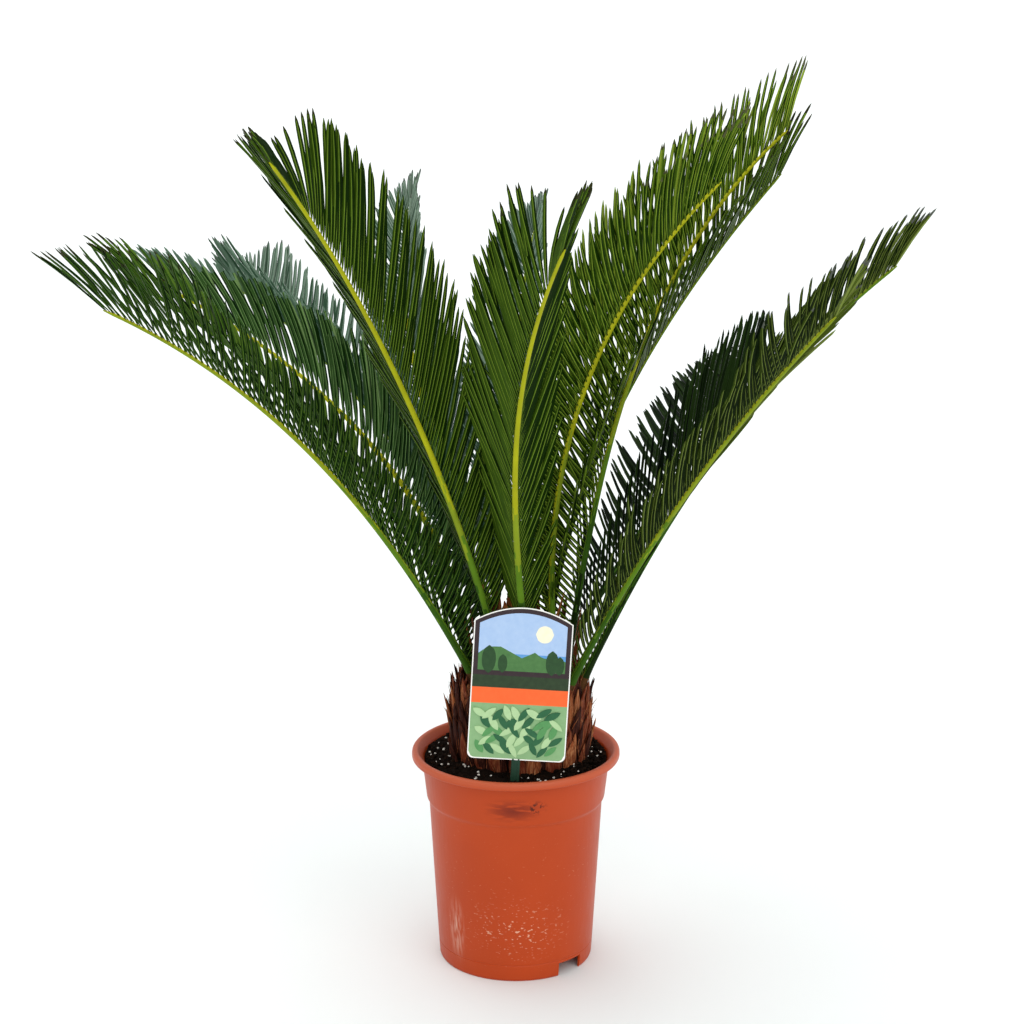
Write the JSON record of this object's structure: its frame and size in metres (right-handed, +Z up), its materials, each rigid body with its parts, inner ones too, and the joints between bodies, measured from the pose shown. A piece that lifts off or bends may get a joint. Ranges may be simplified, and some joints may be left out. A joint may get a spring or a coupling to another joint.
{
  "type": "potted sago palm",
  "caption": "Sago palm, a cycad, with a shaggy trunk and a crown of long feather-like fronds, in a round plastic nursery pot with a plant label.",
  "frame": {"origin": "centre of the pot's flat underside, on the floor", "axes": "+Z up along the pot's axis, -Y towards the front, where the plant label stands, +X to the right seen from the front"},
  "size_m": [0.6543, 0.8808, 0.7435],
  "materials": {
    "pot": "satin moulded polypropylene",
    "soil": "loose peat",
    "trunk": "rough fibrous leaf bases",
    "foliage": "glossy leathery leaf",
    "label": "printed card, gloss"
  },
  "bodies": {
    "root": {"pot": "pot", "soil": "soil", "trunk": "trunk", "plant_label": "label", "frond_front": "foliage", "frond_front_left": "foliage", "frond_front_right": "foliage", "frond_right_tall": "foliage", "frond_left_low": "foliage", "frond_right_low": "foliage", "frond_right_wide": "foliage", "frond_left_upper": "foliage", "frond_left_middle": "foliage", "frond_right_upper": "foliage", "frond_back_left": "foliage", "frond_back_inner": "foliage", "frond_back": "foliage", "frond_back_right": "foliage"}
  },
  "joints": []
}
